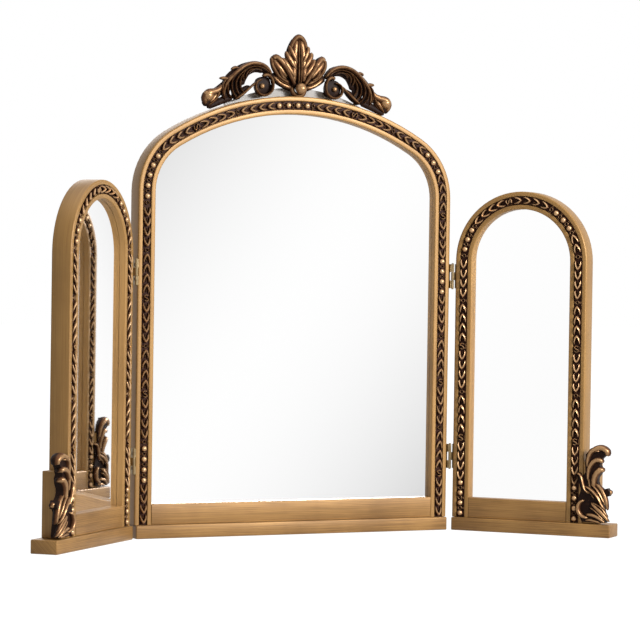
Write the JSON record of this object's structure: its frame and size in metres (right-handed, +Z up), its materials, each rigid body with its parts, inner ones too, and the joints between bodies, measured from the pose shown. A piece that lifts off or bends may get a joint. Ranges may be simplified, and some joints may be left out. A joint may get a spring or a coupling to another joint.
{
  "type": "tri-fold dressing table mirror",
  "caption": "Table-top dressing mirror with an arched centre panel, two hinged arched wings, gilt moulded frames, a carved crest, corner scrolls and plinth bars.",
  "frame": {"origin": "middle of the underside of the centre plinth bar", "axes": "+X to the viewer's right, +Y away from the viewer, +Z up"},
  "size_m": [0.951, 0.2471, 0.7627],
  "materials": {
    "gilt_wood": "satin antique gold paint, brushed along each piece",
    "gilt_moulding": "composition moulding, antique gold over dark brown",
    "gilt_casting": "cast resin, antique gold rubbed over dark brown",
    "mirror_glass": "clear silvered glass",
    "back_board": "dark stained fibreboard",
    "crest_board": "plain grey board",
    "hinge_brass": "dulled brass"
  },
  "bodies": {
    "centre": {"centre_back_board": "back_board", "centre_bottom_rail": "gilt_wood", "centre_frame": "gilt_wood", "centre_mirror": "mirror_glass", "centre_moulding": "gilt_moulding", "centre_plinth": "gilt_wood", "crest": "gilt_casting", "crest_board": "crest_board", "left_hinge_centre_lower_leaf": "hinge_brass", "left_hinge_centre_lower_screw_a": "hinge_brass", "left_hinge_centre_lower_screw_b": "hinge_brass", "left_hinge_centre_upper_leaf": "hinge_brass", "left_hinge_centre_upper_screw_a": "hinge_brass", "left_hinge_centre_upper_screw_b": "hinge_brass", "left_lower_pin": "hinge_brass", "left_upper_pin": "hinge_brass", "right_hinge_centre_lower_leaf": "hinge_brass", "right_hinge_centre_lower_screw_a": "hinge_brass", "right_hinge_centre_lower_screw_b": "hinge_brass", "right_hinge_centre_upper_leaf": "hinge_brass", "right_hinge_centre_upper_screw_a": "hinge_brass", "right_hinge_centre_upper_screw_b": "hinge_brass", "right_lower_pin": "hinge_brass", "right_upper_pin": "hinge_brass"},
    "left_wing": {"left_hinge_wing_lower_leaf": "hinge_brass", "left_hinge_wing_lower_screw_a": "hinge_brass", "left_hinge_wing_lower_screw_b": "hinge_brass", "left_hinge_wing_upper_leaf": "hinge_brass", "left_hinge_wing_upper_screw_a": "hinge_brass", "left_hinge_wing_upper_screw_b": "hinge_brass", "left_wing_back_board": "back_board", "left_wing_bottom_rail": "gilt_wood", "left_wing_corner_block": "gilt_wood", "left_wing_corner_ornament": "gilt_casting", "left_wing_frame": "gilt_wood", "left_wing_mirror": "mirror_glass", "left_wing_moulding": "gilt_moulding", "left_wing_plinth": "gilt_wood"},
    "right_wing": {"right_hinge_wing_lower_leaf": "hinge_brass", "right_hinge_wing_lower_screw_a": "hinge_brass", "right_hinge_wing_lower_screw_b": "hinge_brass", "right_hinge_wing_upper_leaf": "hinge_brass", "right_hinge_wing_upper_screw_a": "hinge_brass", "right_hinge_wing_upper_screw_b": "hinge_brass", "right_wing_back_board": "back_board", "right_wing_bottom_rail": "gilt_wood", "right_wing_corner_block": "gilt_wood", "right_wing_corner_ornament": "gilt_casting", "right_wing_frame": "gilt_wood", "right_wing_mirror": "mirror_glass", "right_wing_moulding": "gilt_moulding", "right_wing_plinth": "gilt_wood"}
  },
  "joints": [
    {"name": "left_wing_fold", "type": "hinge", "parent": "centre", "child": "left_wing", "pos_m": [-0.2676, -0.0183, 0], "axis": [0, 0, 1], "range_deg": [-49.5, 76.5]},
    {"name": "right_wing_fold", "type": "hinge", "parent": "centre", "child": "right_wing", "pos_m": [0.2676, -0.0183, 0], "axis": [0, 0, -1], "range_deg": [-56.3, 69.7]}
  ]
}
